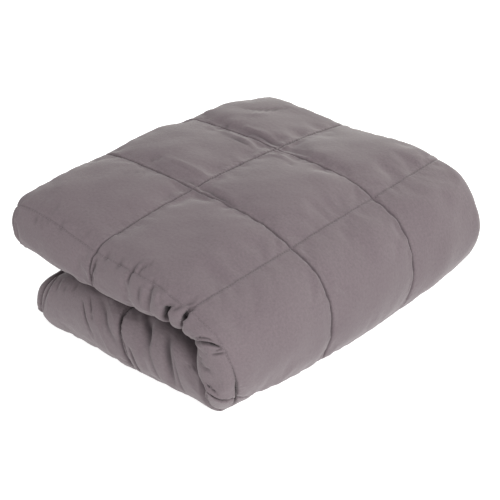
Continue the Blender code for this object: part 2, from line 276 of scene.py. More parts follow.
def round_corners(along, across):
    """Turn the square corners of the hem into quarter circles."""
    inner_along, inner_across = np.clip(along, 0, SQUARES_LONG), np.clip(across, 0, SQUARES_WIDE)
    out = np.stack((np.abs(along - inner_along), np.abs(across - inner_across)))
    reach = np.maximum(np.hypot(*out), TINY)
    share = np.where(reach > 10 * TINY, out.max(0) / reach, 1.0)
    return (inner_along + (along - inner_along) * share,
            inner_across + (across - inner_across) * share)


def filling(position, count, open_end=0.0):
    """Share of the full thickness: 1 inside, rounding to the pinched edge seam, plump hem.
    open_end is 1 where the front fold holds the end open, so that it is pinched less."""
    upper = position < 0.5 * count
    pinch = SEAM_PINCH + (np.where(upper, UPPER_PINCH, NOSE_PINCH) - SEAM_PINCH) * open_end
    plump = HEM_PLUMP + (np.where(upper, UPPER_PLUMP, NOSE_PLUMP) - HEM_PLUMP) * open_end
    inside = np.minimum(position, count - position)
    rounding = np.sqrt(1 - (1 - np.clip(inside / EDGE_ROUND, 0, 1)) ** 2)
    outside = overhang(position, count)
    rising = np.sin(0.5 * math.pi * np.clip(outside / HEM_CREST, 0, 1))
    closing = np.clip((outside - HEM_CREST) / (1 - HEM_CREST), 0, 1)
    hem = (pinch + (plump - pinch) * rising) * np.sqrt(1 - (1 - HEM_LIP ** 2) * closing ** 2)
    return np.where(inside >= 0, pinch + (1 - pinch) * rounding, hem)


def overhang(position, count):
    """How far out a place of the hem is: 0 on the edge seam and 1 on the very edge."""
    return np.clip(-np.minimum(position, count - position) / HEM, 0, 1)


def across_strip(across, reach):
    """The y of the cloth's outward face, its depth through the strip from 0 to 1, the y of the
    slit between the layers, and which side of the slit a point lies on, from -1 to 1."""
    nose = np.interp(across, (NOSE_START, FRONT_SEAM, NOSE_END),
                     (math.pi / 2, SEAM_ANGLE, -math.pi / 2))
    turn_y = np.abs(np.cos(nose)) ** (2 / NOSE_BOXINESS)
    depth = 0.5 + 0.5 * signed_power(np.sin(nose), 2 / NOSE_BOXINESS)
    straight_y = np.where(across < NOSE_START, np.interp(across, *zip(*OUTER_SEAMS_Y)),
                          np.interp(across, *zip(*INNER_SEAMS_Y)))
    on_nose = (across > NOSE_START) & (across < NOSE_END)
    face_y = np.where(on_nose, NOSE_CENTRE - (NOSE_CENTRE + reach) * turn_y, straight_y)
    slit_end = SLIT_TIP_Y + SLIT_DEPTH
    slit_y = np.maximum(slit_end - SLIT_DEPTH * np.cos(nose), SLIT_TIP_Y)
    slit_y = np.where(on_nose, slit_y, np.maximum(straight_y, slit_end))
    return face_y, depth, slit_y, np.sin(nose)


def place(along, y, depth, lean):
    """A point of the strip, from how far along it is, its y and its depth through the strip."""
    knots, *paths = columns(OUTER_PATH)
    back, swell = np.clip(y / OUTER_EDGE_Y, 0, 1), hump(y)
    outer_x, outer_z = (
        smooth(knots, front, along) * (1 - back) + smooth(knots, rear, along) * back
        + smooth(knots, middle - (front + rear) / 2, along) * swell
        for front, middle, rear in (paths[0::2], paths[1::2]))
    knots, *paths = columns(INNER_PATH)
    near = bell(np.maximum(y, 0.0) / GAP_REACH)
    inner_x, inner_z = (
        smooth(knots, front, along) * near + smooth(knots, rear, along) * (1 - near)
        for front, rear in (paths[0::2], paths[1::2]))
    near_nose = 1 - ramp(*LEAN_Y, y)
    return np.stack((inner_x + (outer_x - inner_x) * depth,
                     y + lean * (depth - LEAN_DEPTH) * near_nose,
                     inner_z + (outer_z - inner_z) * depth), axis=-1)


def normals(points):
    """Unit vectors square to a grid of points, pointing out of the cloth."""
    out = np.cross(np.gradient(points, axis=1), np.gradient(points, axis=0))
    return out / np.maximum(np.linalg.norm(out, axis=-1, keepdims=True), TINY)


def two_faces(along_at, across_at):
    """Grids of the cloth: its places, depth and filling, and its outward and slit faces before
    any relief, in squares."""
    along, across = round_corners(*np.meshgrid(along_at, across_at, indexing="ij"))
    knots, reach, lean = columns(NOSE_PATH)
    reach, lean = smooth(knots, reach, along), smooth(knots, lean, along)
    face_y, depth, slit_y, slit_side = across_strip(across, reach)
    outward = place(along, face_y, depth, lean)
    thickness = np.linalg.norm(place(along, face_y, 1.0, lean)
                               - place(along, face_y, 0.0, lean), axis=-1)
    inward = place(along, slit_y, 0.5 + 0.5 * LAYER_GAP / thickness * slit_side, lean)
    open_end = 1 - ramp(*OPEN_END_Y, face_y)
    fill = np.minimum(filling(along, SQUARES_LONG, open_end), filling(across, SQUARES_WIDE))
    middle = 0.5 * (outward + inward)
    hanging = (1 - open_end) * ramp(*HANG_Z, middle[..., 2]) * HEM_DROP
    middle[..., 2] -= hanging * np.maximum(overhang(along, SQUARES_LONG),
                                           overhang(across, SQUARES_WIDE))
    half_layer = 0.5 * (outward - inward) * fill[..., None]
    outward, inward = middle + half_layer, middle - half_layer
    return along, across, depth, fill, outward, inward


sample = two_faces(np.array([0.5, 1.5, 2.5]), np.array([1.5, 2.5, 3.4]))[4] * SQUARE
print("middle of a top square is at", sample[1, 0].round(3), "m before centring")

# %% [markdown]
# ## Relief: what the filling and the seams do to the surface
#
# Each square stands a few millimetres above its seams.  On the outside of a fold the cloth is
# pulled tight and the seam hardly dips; across the front fold some seams gather the cloth into
# deep tucks.  The relief is worked out as one number for each point, how far it moves along
# its normal, so several reliefs can be added together.

# %% Main relief


def seam_lines(position, depths):
    """0 on a full-depth seam and 1 in the middle of a square."""
    nearest = np.clip(np.round(position), 0, len(depths) - 1).astype(int)
    held = np.array([depths[k] for k in range(len(depths))])[nearest]
    return 1 - held * (1 - np.abs(np.sin(math.pi * position)) ** SWELL_POWER)


def main_relief(along, across, depth, fill):
    """How far the filling lifts the face, less the deep creases of the front fold."""
    swell = seam_lines(along, SEAM_DEPTH_CROSS) * seam_lines(across, SEAM_DEPTH_LONG)
    rise = SWELL * (swell - ramp(*SWELL_ENDS, across)) * np.minimum(fill, 1.0)
    on_nose = window(across, NOSE_OPENS, NOSE_CLOSES)
    for _, at, width, deep, low, high in NOSE_CREASES:
        through = window(depth, (low - LOW_FADE, low + LOW_FADE),
                         (high - HIGH_FADE, high + HIGH_FADE / 2))
        rise = rise - deep * bell((along - at) / width) * through * on_nose
    return rise


print(len(NOSE_CREASES), "deep creases cross the front fold")

# %% [markdown]
# ## Swelling the squares with a cloth simulation
#
# A sewn square is not a neat dome.  The filling pushes the cloth out, the stitches hold it
# down, and the spare cloth between them gathers into small folds that run into the seams.  It
# could be drawn by hand, but Blender's Cloth does it better: an even cage of the visible face
# is pinned along every seam, given a little spare cloth (a negative shrink) and blown up
# gently.  Only the movement is kept, capped at a few millimetres, so the folds stay in place.

# %% Cloth simulation of the visible face
CAGE_STEPS = 34             # cage faces to a square
CAGE_END = 4.1              # the cage covers the cloth from the back edge round the front fold
CLOTH_FRAMES = 20
PRESSURE = 1.5
SPARE_CLOTH = 0.014         # how much longer the cloth is than the path between its seams
MOVE_CAP = 0.0032           # metres
ARRIS_PIN = 0.25            # how firmly the seam along the front arris is held
PINNED_CREASES = ("notch", "mitre crease", "corner pinch")
PINNED_WIDTH = 0.6          # how much of such a crease's width is held down,
PINNED_FROM = 3.02          # and from which across value on
CAGE_RIM = 0.05             # the last strip of the cage, held down too
ON_SEAM = 1e-6              # a point this close to a seam is on it


def grid_faces(rows, cols):
    """Quads of a grid, turned so that they face out of the cloth."""
    index = np.arange(rows * cols).reshape(rows, cols)
    return np.stack((index[:-1, :-1], index[:-1, 1:], index[1:, 1:], index[1:, :-1]),
                    axis=-1).reshape(-1, 4)


def swell_with_cloth(points, pinned):
    """Blow up a grid of points, in metres, held at the pinned ones, and return the movement."""
    rows, cols = points.shape[:2]
    mesh = bpy.data.meshes.new("cover_cage")
    mesh.from_pydata(points.reshape(-1, 3).tolist(), [], grid_faces(rows, cols).tolist())
    cage = add_object("cover_cage", mesh)
    sewn = cage.vertex_groups.new(name="sewn_down")
    for weight in np.unique(pinned[pinned > 0]):
        sewn.add(np.flatnonzero(pinned.ravel() == weight).tolist(), float(weight), "REPLACE")
    cloth = cage.modifiers.new("Cloth", "CLOTH")
    settings = cloth.settings
    settings.quality, settings.mass, settings.air_damping = 6, 0.3, 2.0
    settings.tension_stiffness = settings.compression_stiffness = 12.0
    settings.shear_stiffness, settings.bending_stiffness = 4.0, 0.15
    settings.use_pressure, settings.uniform_pressure_force = True, PRESSURE
    settings.vertex_group_mass, settings.shrink_min = sewn.name, -SPARE_CLOTH
    settings.effector_weights.gravity = 0.0
    cloth.collision_settings.use_collision = False
    cloth.collision_settings.use_self_collision = False
    cloth.point_cache.frame_start, cloth.point_cache.frame_end = 1, CLOTH_FRAMES
    for number in range(1, CLOTH_FRAMES + 1):
        scene.frame_set(number)
    blown = cage.evaluated_get(bpy.context.evaluated_depsgraph_get())
    place_now = np.empty(rows * cols * 3, np.float32)
    blown.data.vertices.foreach_get("co", place_now)
    bpy.data.objects.remove(cage, do_unlink=True)
    bpy.data.meshes.remove(mesh)
    scene.frame_set(1)
    move = place_now.reshape(points.shape) - points
    size = np.maximum(np.linalg.norm(move, axis=-1, keepdims=True), TINY)
    return move * (MOVE_CAP * np.tanh(size / MOVE_CAP) / size)


cage_across = np.arange(0, round(CAGE_END * CAGE_STEPS) + 1) / CAGE_STEPS
cage_along = np.arange(0, SQUARES_LONG * CAGE_STEPS + 1) / CAGE_STEPS
along, across, depth, fill, outward, inward = two_faces(cage_along, cage_across)
relief = main_relief(along, across, depth, fill)
cage_points = (outward + normals(outward) * relief[..., None]) * SQUARE
on_seam = (np.abs(along - np.round(along)) < ON_SEAM) \
    | (np.abs(across - np.round(across)) < ON_SEAM)
sewn_down = np.where(on_seam, 1.0, 0.0)
sewn_down[:, np.abs(cage_across - FRONT_SEAM) < ON_SEAM] = ARRIS_PIN
for name, at, width, _, _, high in NOSE_CREASES:
    if name in PINNED_CREASES:
        sewn_down[(np.abs(along - at) < PINNED_WIDTH * width) & (across > PINNED_FROM)
                  & (depth < high)] = 1.0
sewn_down[across > CAGE_END - CAGE_RIM] = 1.0
cage_move = swell_with_cloth(cage_points, sewn_down)
print("the cloth moved up to", round(1000 * float(np.linalg.norm(cage_move, axis=-1).max()), 1),
      "mm on a cage of", cage_move.shape[0] * cage_move.shape[1], "points")

# %% [markdown]
# ## Creases placed one by one
#
# The simulation gives the even puckering of a new quilt.  This one has also been folded, so it
# carries creases of its own: tucks across the front fold, a pinch where the fold turns down the
# spine, and soft rolls just behind the seams.  Each has a width and a depth in thousandths of a
# square, and a short path on the cloth in squares.  A negative depth is a ridge.

# %% Crease table
CREASES = (
    # name                width, depth  along and across, for each point of its path
    # the eyelid fold and its wrinkles where the spine turns into the front fold
    ("arch line",              8,  14,  2.22, 3.36,  2.26, 3.16,  2.33, 3.07),
    ("arch lip",              10, -10,  2.24, 3.40,  2.275, 3.19,  2.36, 3.06),
    ("eyelid fold",           12,  75,  2.275, 3.46,  2.30, 3.22,  2.41, 3.02),
    ("eyelid shadow",         14,  30,  2.30, 3.34,  2.32, 3.20,  2.37, 3.09),
    ("pinch wrinkle upper",    9,  12,  2.42, 3.11,  2.42, 3.01),
    ("pinch wrinkle lower",   11,  18,  2.45, 3.18,  2.46, 3.00),
    ("tube wrinkle upper",    14,  14,  2.51, 3.44,  2.55, 3.30),
    ("tube wrinkle lower",    16,  14,  2.59, 3.38,  2.66, 3.22),
    ("tube fold by the seam", 12,  20,  2.86, 3.34,  2.93, 3.24),
    ("fourth seam, front",    13,  30,  3.00, 3.36,  3.01, 3.20,  2.98, 3.04),
    ("front seam at the foot", 9,  45,  2.74, 3.01,  2.93, 3.01,  3.12, 2.975),
    ("mitre line",            10,  50,  2.87, 3.62,  3.00, 3.52,  3.24, 3.28),
    # the upper part of the front fold
    ("second seam, front",    12,  26,  1.04, 3.04,  1.04, 3.18,  1.02, 3.32),
    ("first arc",             13,  16,  1.42, 2.92,  1.41, 3.04,  1.43, 3.18),
    ("first arc ridge",       13, -10,  1.37, 2.99,  1.39, 3.12),
    ("high arc ridge",        13, -14,  1.54, 2.85,  1.45, 2.92,  1.45, 3.05),
    ("high arc",              11,  12,  1.52, 2.89,  1.475, 2.94,  1.47, 3.00),
    ("short ridge",           10, -10,  1.62, 2.90,  1.585, 2.98),
    ("front crease left",     13,  11,  1.54, 3.10,  1.53, 3.30),
    ("front crease ridge",    13, -10,  1.59, 3.02,  1.575, 3.14,  1.57, 3.30),
    ("front crease right",    14,  16,  1.61, 2.96,  1.64, 3.12,  1.61, 3.32),
    ("front crease swell",    28, -12,  1.70, 3.02,  1.72, 3.22),
    ("notch",                 20,  65,  1.87, 3.08,  1.80, 3.30,  1.80, 3.60),
    ("fold beside the notch", 13,  14,  1.93, 3.00,  1.91, 3.09,  1.88, 3.18),
    ("third seam, front",     10,  60,  1.99, 2.96,  2.00, 3.12,  2.01, 3.36),
    ("fold by the third seam", 8,   9,  1.94, 2.98,  1.95, 2.95,  1.98, 2.93),
    ("pucker a",              12,   8,  0.32, 3.00,  0.34, 3.12),
    ("pucker b",              11,   8,  0.40, 3.01,  0.42, 3.13),
    ("pucker c",              11,  10,  0.46, 2.88,  0.44, 2.97,  0.46, 3.06),
    ("pucker d",              11,  10,  0.63, 2.92,  0.61, 2.99,  0.62, 3.06),
    ("pucker e",              10,   8,  0.84, 2.90,  0.82, 3.00),
    ("pucker f",              12,   8,  1.12, 2.94,  1.14, 3.06),
    ("pucker g",              13,   9,  1.27, 2.94,  1.29, 3.08),
    # the lower part of the front fold
    ("streak one",            22,  32,  3.89, 3.76,  3.82, 3.56,  3.79, 3.42),
    ("streak one, thin",      12,   7,  3.80, 3.48,  3.76, 3.32,  3.74, 3.14),
    ("streak two",            22,  30,  3.69, 3.66,  3.66, 3.46,  3.63, 3.24),
    ("streak two, thin",      11,   7,  3.62, 3.50,  3.58, 3.30,  3.56, 3.12),
    ("fifth seam, front",      7,  50,  4.01, 3.70,  4.00, 3.48,  3.965, 3.31),
    ("fifth seam, low",        8,  45,  3.97, 3.37,  3.97, 3.24,  4.01, 3.02),
    ("double of fifth seam",   7,  24,  3.925, 3.34,  3.91, 3.25,  3.95, 3.04),
    ("level line",             8,  14,  3.52, 3.45,  3.46, 3.53,  3.40, 3.60),
    ("lower roll near",       14,  -5,  4.13, 3.58,  4.05, 3.50,  4.02, 3.40),
    ("lower trough",          22,  12,  4.27, 3.62,  4.14, 3.47,  4.03, 3.30),
    ("lower roll far",        20, -12,  4.31, 3.50,  4.19, 3.37,  4.12, 3.20),
    ("lower line a",          11,  14,  4.38, 3.58,  4.31, 3.47,  4.27, 3.38),
    ("lower line b",          11,  16,  4.44, 3.50,  4.37, 3.40,  4.29, 3.26),
    ("hem line",               7,  30,  4.98, 3.66,  4.92, 3.46,  4.97, 3.18),
    ("hem ridge",             12,  -8,  4.90, 3.54,  4.88, 3.42,  4.89, 3.28),
    ("ray a",                  9,  10,  4.85, 3.60,  4.82, 3.46),
    ("ray b",                 11,  -7,  4.80, 3.58,  4.77, 3.47),
    ("ray c",                  9,  10,  4.74, 3.60,  4.72, 3.48),
    ("ray d",                 11,  -6,  4.69, 3.58,  4.66, 3.48),
    ("ray e",                 10,   9,  4.61, 3.62,  4.59, 3.50),
    # rolls and gathers beside the seams of the top
    ("roll behind first",     18, -18,  0.60, 0.92,  0.75, 0.885,  1.01, 0.895),
    ("dip behind first",      20,  10,  0.66, 0.945,  0.84, 0.935,  0.98, 0.935),
    ("blip behind first a",   11,  10,  0.49, 1.00,  0.47, 0.92),
    ("blip behind first b",   10,   9,  0.56, 0.98,  0.56, 0.90),
    ("roll behind first b",   14, -16,  1.02, 0.94,  1.08, 0.885,  1.24, 0.915),
    ("roll before first",     22, -15,  0.30, 1.08,  0.62, 1.11,  0.92, 1.13),
    ("line before first",     10,  13,  0.58, 1.13,  0.80, 1.165,  1.00, 1.18),
    ("roll before first b",   18, -16,  1.03, 1.17,  1.12, 1.125,  1.36, 1.14),
    ("line before first b",   10,  12,  1.24, 1.17,  1.34, 1.19),
    ("roll behind second",    18, -15,  0.58, 1.83,  0.78, 1.805,  1.00, 1.80),
    ("blip behind second",    11,  10,  0.50, 1.92,  0.56, 1.83),
    ("double of second seam",  8,  12,  0.86, 1.98,  0.93, 1.955,  1.01, 1.955),
    ("gather of second seam", 12,  18,  1.02, 1.955,  1.20, 1.96,  1.44, 1.985),
    ("roll above the gather", 18, -12,  1.04, 1.91,  1.24, 1.91,  1.44, 1.94),
    ("line before second",    12,  10,  0.55, 2.26,  0.57, 2.15,  0.63, 2.08),
    ("roll before second",    16, -10,  0.33, 2.19,  0.41, 2.10,  0.52, 2.06),
    # the far corner and the left end
    ("back corner line a",    15,  15,  0.33, 0.58,  0.47, 0.48,  0.55, 0.22),
    ("back corner line b",    16, -10,  0.44, 0.72,  0.53, 0.60,  0.57, 0.46),
    ("end diagonal",          14,  -8,  0.40, 3.00,  0.36, 2.90,  0.37, 2.70),
)
PATH_STEPS = 14
TAPER_POWER, TAPER_ENDS = 0.6, (0.02, 0.98)     # how bluntly a crease ends
CREASE_REACH = 3                # widths from its path, beyond which a crease isn't felt
PAINTED_SHADE_DEPTH = 0.050             # a crease this deep gets as much painted shade inside as a seam


def along_path(path):
    """Points evenly along a crease: straight for two points, a smooth bend for three."""
    t = np.linspace(0, 1, PATH_STEPS)[:, None]
    if len(path) == 2:
        return path[0] * (1 - t) + path[1] * t
    bend = 2 * path[1] - 0.5 * (path[0] + path[2])
    return path[0] * (1 - t) ** 2 + 2 * bend * t * (1 - t) + path[2] * t * t


def crease_relief(along, across):
    """The listed creases, added up, and the painted shade that each point gets inside a deep
    crease.
    """
    total, inside = np.zeros(along.shape), np.zeros(along.shape)
    for _, width, deep, *path in CREASES:
        width, deep = width / 1000, deep / 1000
        points = along_path(np.reshape(path, (-1, 2)))
        low, high = points.min(0) - CREASE_REACH * width, points.max(0) + CREASE_REACH * width
        near = (along > low[0]) & (along < high[0]) & (across > low[1]) & (across < high[1])
        here = np.stack((along[near], across[near]), axis=-1)
        best, where = np.full(len(here), np.inf), np.zeros(len(here))
        for k in range(PATH_STEPS - 1):
            start, leg = points[k], points[k + 1] - points[k]
            t = np.clip(((here - start) @ leg) / (leg @ leg), 0, 1)
            away = np.linalg.norm(here - start - t[:, None] * leg, axis=-1)
            closer = away < best
            best, where = np.where(closer, away, best), np.where(closer, k + t, where)
        taper = np.sin(math.pi * np.clip(where / (PATH_STEPS - 1), *TAPER_ENDS)) ** TAPER_POWER
        share = bell(best / width) * taper
        total[near] -= deep * share
        # painted shade: the deeper a crease, the darker its colour inside, standing in for the
        # shade in the fold
        inside[near] = np.maximum(inside[near], math.sqrt(max(deep, 0.0) / PAINTED_SHADE_DEPTH) * share)
    return total, np.clip(inside, 0, 1)


print(len(CREASES), "creases are placed by hand")

# %% [markdown]
# ## Seams, puckers and unevenness
#
# A line of quilting pulls the two faces together, so there is a groove about two millimetres
# wide with the thread at the bottom.  Beside it the cloth is drawn up into tiny puckers, and
# nothing on a filled cloth is quite even.  The puckers and the unevenness are layers of smooth
# noise, each with a fixed seed, and the puckers are stretched across the seams.

# %% Fine relief
GROOVE_DEPTH, GROOVE_WIDTH = 0.013, 0.0065       # squares
PAINTED_SEAM_SHADE_WIDTH, PAINTED_SEAM_SHADE_SHARE = 0.006, 0.66        # how far from the stitches the cloth is darkened with painted shade, and how dark that painted shade is against the bottom of a deep fold
                                # darker, and how dark against the bottom of a deep fold
GATHER_REACH = 0.030            # how far from the stitches the thread gathers the cloth
PUCKER_HEIGHT, PUCKER_REACH = 0.0075, 0.075
PUCKER_MEAN, PUCKER_SPREAD, STRENGTH_RANGE = 0.55, 0.75, (-0.6, 1)
PUCKER_LOSS = 0.5               # the share of a pucker that is lost in a groove
UNEVEN_HEIGHT, UNEVEN_FROM = 0.010, 0.12        # full height is reached this far from a seam
# layers of noise: share, pitch along, pitch across, seed
PUCKERS_OF_LONG = ((1.0, 0.045, 0.22, 11), (0.6, 0.09, 0.30, 12))
PUCKERS_OF_CROSS = ((1.0, 0.22, 0.045, 13), (0.6, 0.30, 0.09, 14))
PUCKER_STRENGTH = ((1.0, 0.5, 0.5, 15),)
UNEVENNESS = ((1.0, 0.33, 0.27, 16), (0.5, 0.13, 0.15, 17))


def cubic_weights(knots, at):
    """A matrix that carries values on even knots to other places (Catmull-Rom curves)."""
    step = knots[1] - knots[0]
    where = np.clip((at - knots[0]) / step, 0, len(knots) - 1 - TINY)
    left = where.astype(int)
    t = where - left
    shares = (-0.5 * t + t ** 2 - 0.5 * t ** 3, 1 - 2.5 * t ** 2 + 1.5 * t ** 3,
              0.5 * t + 2 * t ** 2 - 1.5 * t ** 3, -0.5 * t ** 2 + 0.5 * t ** 3)
    weights = np.zeros((len(at), len(knots)))
    for shift, share in enumerate(shares):
        column = np.clip(left + shift - 1, 0, len(knots) - 1)
        np.add.at(weights, (np.arange(len(at)), column), share)
    return weights


def soft_noise(along_at, across_at, pitch_along, pitch_across, seed):
    """Smooth noise from -1 to 1 on a grid of places, with its own pitch each way."""
    knots_along = np.arange(-2, (SQUARES_LONG + 2) / pitch_along) * pitch_along
    knots_across = np.arange(-2, (SQUARES_WIDE + 2) / pitch_across) * pitch_across
    lattice = np.random.default_rng(seed).uniform(-1, 1, (len(knots_along), len(knots_across)))
    return (cubic_weights(knots_along, along_at) @ lattice
            @ cubic_weights(knots_across, across_at).T)


def noise_layers(along_at, across_at, layers):
    """Layers of smooth noise, added up."""
    return sum(share * soft_noise(along_at, across_at, *layer) for share, *layer in layers)


FRONT_SEAM_HOLD = (
    # place            along  share
    ("upper end",      -0.09,  0.45),
    ("shoulder",        2.20,  0.26),
    ("spine",           2.55,  0.35),
    ("above the foot",  2.68,  0.70),
    ("spine foot",      2.82,  1.00),
    ("lower end",       5.09,  1.00),
)
TUCKED_HOLD = 0.15              # a seam that is tucked out of sight at an edge or underneath
BENT_HOLD = 0.60                # the seam along the top edge of the spine, bent the other way
FOOT_ACROSS = (2.85, 3.0)       # where the seam at the spine's foot comes out of its tuck


def hold(along, across):
    """How firmly the long and the cross seams are held down: less on the front arris, where
    the cloth is stretched, and where a seam is tucked away."""
    knots, share = columns(FRONT_SEAM_HOLD)
    spine_foot = TUCKED_HOLD + (1 - TUCKED_HOLD) * ramp(*FOOT_ACROSS, across)
    long_seams = {0: TUCKED_HOLD, FRONT_SEAM: np.interp(along, knots, share)}
    cross_seams = {0: TUCKED_HOLD, 2: BENT_HOLD, 3: spine_foot}
    return [np.select([np.round(position) == seam for seam in held], held.values(), 1.0)
            for position, held in ((across, long_seams), (along, cross_seams))]


def fine_relief(along_at, across_at, along, across):
    """Grooves, puckers and unevenness, the painted shade along each line of stitches, and how close
    each point is to the cloth that the thread gathers."""
    to_cross = np.abs(along - np.round(along))
    to_long = np.abs(across - np.round(across))
    hold_long, hold_cross = hold(along, across)

    def spike(away):
        return np.exp(-away)

    def held(fall, reach):
        """What the stitches do to the cloth, fading away from them."""
        return np.maximum(hold_cross * fall(to_cross / reach), hold_long * fall(to_long / reach))

    groove = held(bell, GROOVE_WIDTH)
    # painted shade: the cloth is darkened along the stitches, standing in for the shade at the
    # bottom of the groove
    stitch_painted_shade = PAINTED_SEAM_SHADE_SHARE * held(bell, PAINTED_SEAM_SHADE_WIDTH)
    gather = held(spike, GATHER_REACH)
    strength = noise_layers(along_at, across_at, PUCKER_STRENGTH)
    strength = PUCKER_MEAN + PUCKER_SPREAD * np.clip(strength, *STRENGTH_RANGE)
    pucker = strength * (
        noise_layers(along_at, across_at, PUCKERS_OF_LONG) * spike(to_long / PUCKER_REACH)
        + noise_layers(along_at, across_at, PUCKERS_OF_CROSS) * spike(to_cross / PUCKER_REACH))
    uneven = noise_layers(along_at, across_at, UNEVENNESS)
    square_middle = np.clip(np.minimum(to_cross, to_long) / UNEVEN_FROM, 0, 1)
    rise = (-GROOVE_DEPTH * groove + PUCKER_HEIGHT * pucker * (1 - PUCKER_LOSS * groove)
            + UNEVEN_HEIGHT * uneven * square_middle)
    return rise, stitch_painted_shade, gather


print("a seam groove is", round(2 * GROOVE_WIDTH * SQUARE * 1000, 1), "mm wide")

# %% [markdown]
# ## The blanket's mesh
#
# The final grid has its lines close together beside every seam and wider apart in the squares,
# so the faces go where the detail is.  The hidden inner layer and the faces of the slit are
# coarser.  The rim joins the fine face to the coarse one with faces of up to six sides.

# %% Stations and mesh helpers
NEAR_SEAM = (0.0, 0.006, 0.013, 0.022, 0.034, 0.050, 0.070)
PLAIN_STEPS = 34            # faces to a square away from the seams,
HIDDEN_STEPS = 10           # and where the cloth is out of sight
CLOSE_ALONG = ((1.3, 1.95), (2.2, 2.5), (3.55, 4.15), (4.3, 4.5), (4.75, 5.0))
CLOSE_ACROSS = ((2.93, 3.66),)          # where creases need twice as many lines
CLOSER_ALONG = ((1.74, 1.88), (2.26, 2.47), (3.56, 4.08), (4.86, 4.98))
CLOSER_ACROSS = ((3.02, 3.24),)         # where thin creases need four times as many
WIDE_GAP = 0.013            # only a gap wider than this is halved
SEEN_UP_TO = 3.95           # across value where the visible cloth ends
CLOTH_ENDS, DETAIL_ENDS = (3.70, 3.95), (3.90, 4.30)    # where what is added fades out
HEM_STEPS = (0.006, 0.016, 0.030, 0.046, 0.060, 0.071, 0.079, HEM)


def fine_stations(count, seen_up_to, *close_ranges):
    """Places of the grid lines from hem to hem, each set of close ranges doubling them."""
    found = []
    for square in range(count):
        steps = PLAIN_STEPS if square < seen_up_to else HIDDEN_STEPS
        near = NEAR_SEAM if square < seen_up_to else NEAR_SEAM[::3]
        middle = np.linspace(near[-1], 1 - near[-1], round(steps * (1 - 2 * near[-1])) + 1)
        found += [square + part for part in near]
        found += [square + part for part in middle[1:-1]]
        found += [square + 1 - part for part in near[:0:-1]]
    found = np.array([-part for part in HEM_STEPS[::-1]] + found + [float(count)]
                     + [count + part for part in HEM_STEPS])
    for ranges in close_ranges:
        halves = 0.5 * (found[1:] + found[:-1])
        wide = np.diff(found) > WIDE_GAP
        close = [wide & (halves > low) & (halves < high) for low, high in ranges]
        found = np.sort(np.concatenate((found, halves[np.any(close, axis=0)])))
    return found


def every_third(number):
    """Every third index, and always the last."""
    return np.append(np.arange(0, number - 2, 3), number - 1)


def joined_cloth(outward, inward, rows, cols):
    """Vertices and faces of the fine outward grid closed by the coarser inward one."""
    fine = np.arange(outward.shape[0] * outward.shape[1]).reshape(outward.shape[:2])
    coarse = fine.size + np.arange(len(rows) * len(cols)).reshape(len(rows), len(cols))
    faces = grid_faces(*outward.shape[:2]).tolist()
    faces += (grid_faces(len(rows), len(cols))[:, ::-1] + fine.size).tolist()

    def rim(fine_line, coarse_line, picks, turned):
        for k in range(len(picks) - 1):
            ring = list(fine_line[picks[k]:picks[k + 1] + 1]) + [coarse_line[k + 1], coarse_line[k]]
            faces.append([int(v) for v in (ring[::-1] if turned else ring)])

    rim(fine[:, 0], coarse[:, 0], rows, False)
    rim(fine[:, -1], coarse[:, -1], rows, True)
    rim(fine[0], coarse[0], cols, True)
    rim(fine[-1], coarse[-1], cols, False)
    return np.concatenate((outward.reshape(-1, 3), inward.reshape(-1, 3))), faces


along_at = fine_stations(SQUARES_LONG, SQUARES_LONG, CLOSE_ALONG, CLOSER_ALONG)
across_at = fine_stations(SQUARES_WIDE, SEEN_UP_TO, CLOSE_ACROSS, CLOSER_ACROSS)
print("lines along the strip:", len(along_at), "and across it:", len(across_at))

# %% Build the blanket
along, across, depth, fill, outward, inward = two_faces(along_at, across_at)
relief = main_relief(along, across, depth, fill)
outward = outward + normals(outward) * relief[..., None]

carry_along = cubic_weights(cage_along, along_at)
carry_across = cubic_weights(cage_across, across_at)
moved = np.tensordot(carry_along, cage_move, axes=(1, 0))
moved = np.moveaxis(np.tensordot(moved, carry_across, axes=(1, 1)), 2, 1) / SQUARE
fade = window(along, (-HEM, 0.0), (SQUARES_LONG, SQUARES_LONG + HEM)) \
    * window(across, (-HEM, 0.0), CLOTH_ENDS)
outward = outward + moved * fade[..., None]

detail, painted_shade_share, gather_share = fine_relief(along_at, across_at, along, across)
shown = np.minimum(fill, 1.0) * (1 - ramp(*DETAIL_ENDS, across))
creases, crease_painted_shade = crease_relief(along, across)
# the painted shade of the deep creases joins the painted shade along the seams
painted_shade_share = np.maximum(painted_shade_share, crease_painted_shade)
outward = outward + normals(outward) * (detail * shown + creases)[..., None]
outward[..., 2] = np.maximum(outward[..., 2], 0.0)

rows, cols = every_third(len(along_at)), every_third(len(across_at))
vertices, faces = joined_cloth(outward, inward[np.ix_(rows, cols)], rows, cols)
vertices = (vertices - (CENTRE_X, CENTRE_Y, 0.0)) * SQUARE
mesh = bpy.data.meshes.new("quilted_cover")
mesh.from_pydata(vertices.tolist(), [], faces)
mesh.validate()
mesh.shade_smooth()
cover = add_object("quilted_cover", mesh)
print("quilted cover:", len(mesh.polygons), "faces, lowest", vertices.min(0).round(4),
      "highest", vertices.max(0).round(4))

# %% [markdown]
# ## Where the pattern of the cloth lies
#
# The weave has to follow the cloth round its folds.  So every corner gets a UV made from its place
# on the flat cloth in metres, and every point gets two numbers: how much painted shade darkens it
# in a seam or a deep crease, and how much the thread gathers it.  The material reads these three,
# and never the camera or the light.

# %% UV and attributes
places = np.stack((along * SQUARE, across * SQUARE), axis=-1)
flat_coarse = places[np.ix_(rows, cols)].reshape(-1, 2)
flat = np.concatenate((places.reshape(-1, 2), flat_coarse))
corner_vertex = np.empty(len(mesh.loops), np.int32)
mesh.loops.foreach_get("vertex_index", corner_vertex)
cloth_uv = mesh.uv_layers.new(name="flat_cloth")
cloth_uv.data.foreach_set("uv", flat[corner_vertex].astype(np.float32).ravel())
